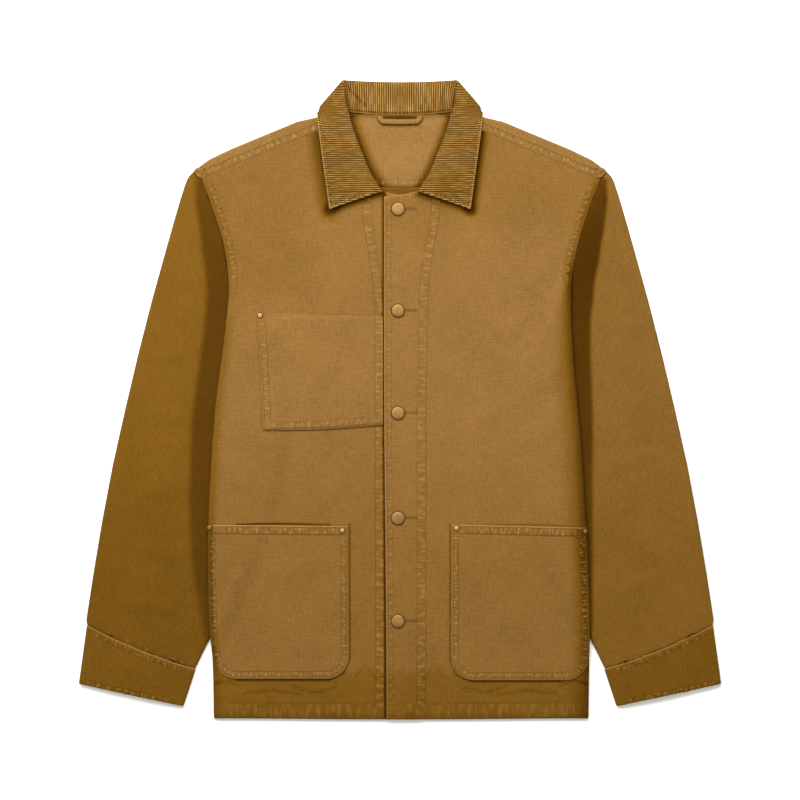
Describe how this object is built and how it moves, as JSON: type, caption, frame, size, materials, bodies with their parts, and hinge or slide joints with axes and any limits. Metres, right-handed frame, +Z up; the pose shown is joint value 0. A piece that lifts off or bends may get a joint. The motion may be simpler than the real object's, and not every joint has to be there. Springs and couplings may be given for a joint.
{
  "type": "chore jacket",
  "caption": "Flat-laid canvas chore jacket, buttoned up, with a corduroy collar, a hanger loop, patch pockets and turned metal buttons and rivets.",
  "frame": {"origin": "centre of the bounding box's underside, on the plane that the jacket lies on", "axes": "+Z up out of the front, +Y towards the collar, +X towards the side of the wearer's left hand"},
  "size_m": [0.7864, 0.781, 0.0158],
  "materials": {
    "canvas": "matte woven cotton duck",
    "corduroy": "matte cut cotton corduroy with wales",
    "antique_brass": "darkened antique brass"
  },
  "bodies": {
    "root": {"back": "canvas", "back_yoke": "canvas", "front_left": "canvas", "front_right": "canvas", "sleeve_left": "canvas", "sleeve_right": "canvas", "cuff_left": "canvas", "cuff_right": "canvas", "hanger_loop": "canvas", "chest_pocket": "canvas", "pocket_left": "canvas", "pocket_right": "canvas", "collar": "corduroy", "button_1": "antique_brass", "button_2": "antique_brass", "button_3": "antique_brass", "button_4": "antique_brass", "button_5": "antique_brass", "rivet_chest": "antique_brass", "rivet_right_outer": "antique_brass", "rivet_right_inner": "antique_brass", "rivet_left_inner": "antique_brass", "rivet_left_outer": "antique_brass"}
  },
  "joints": []
}
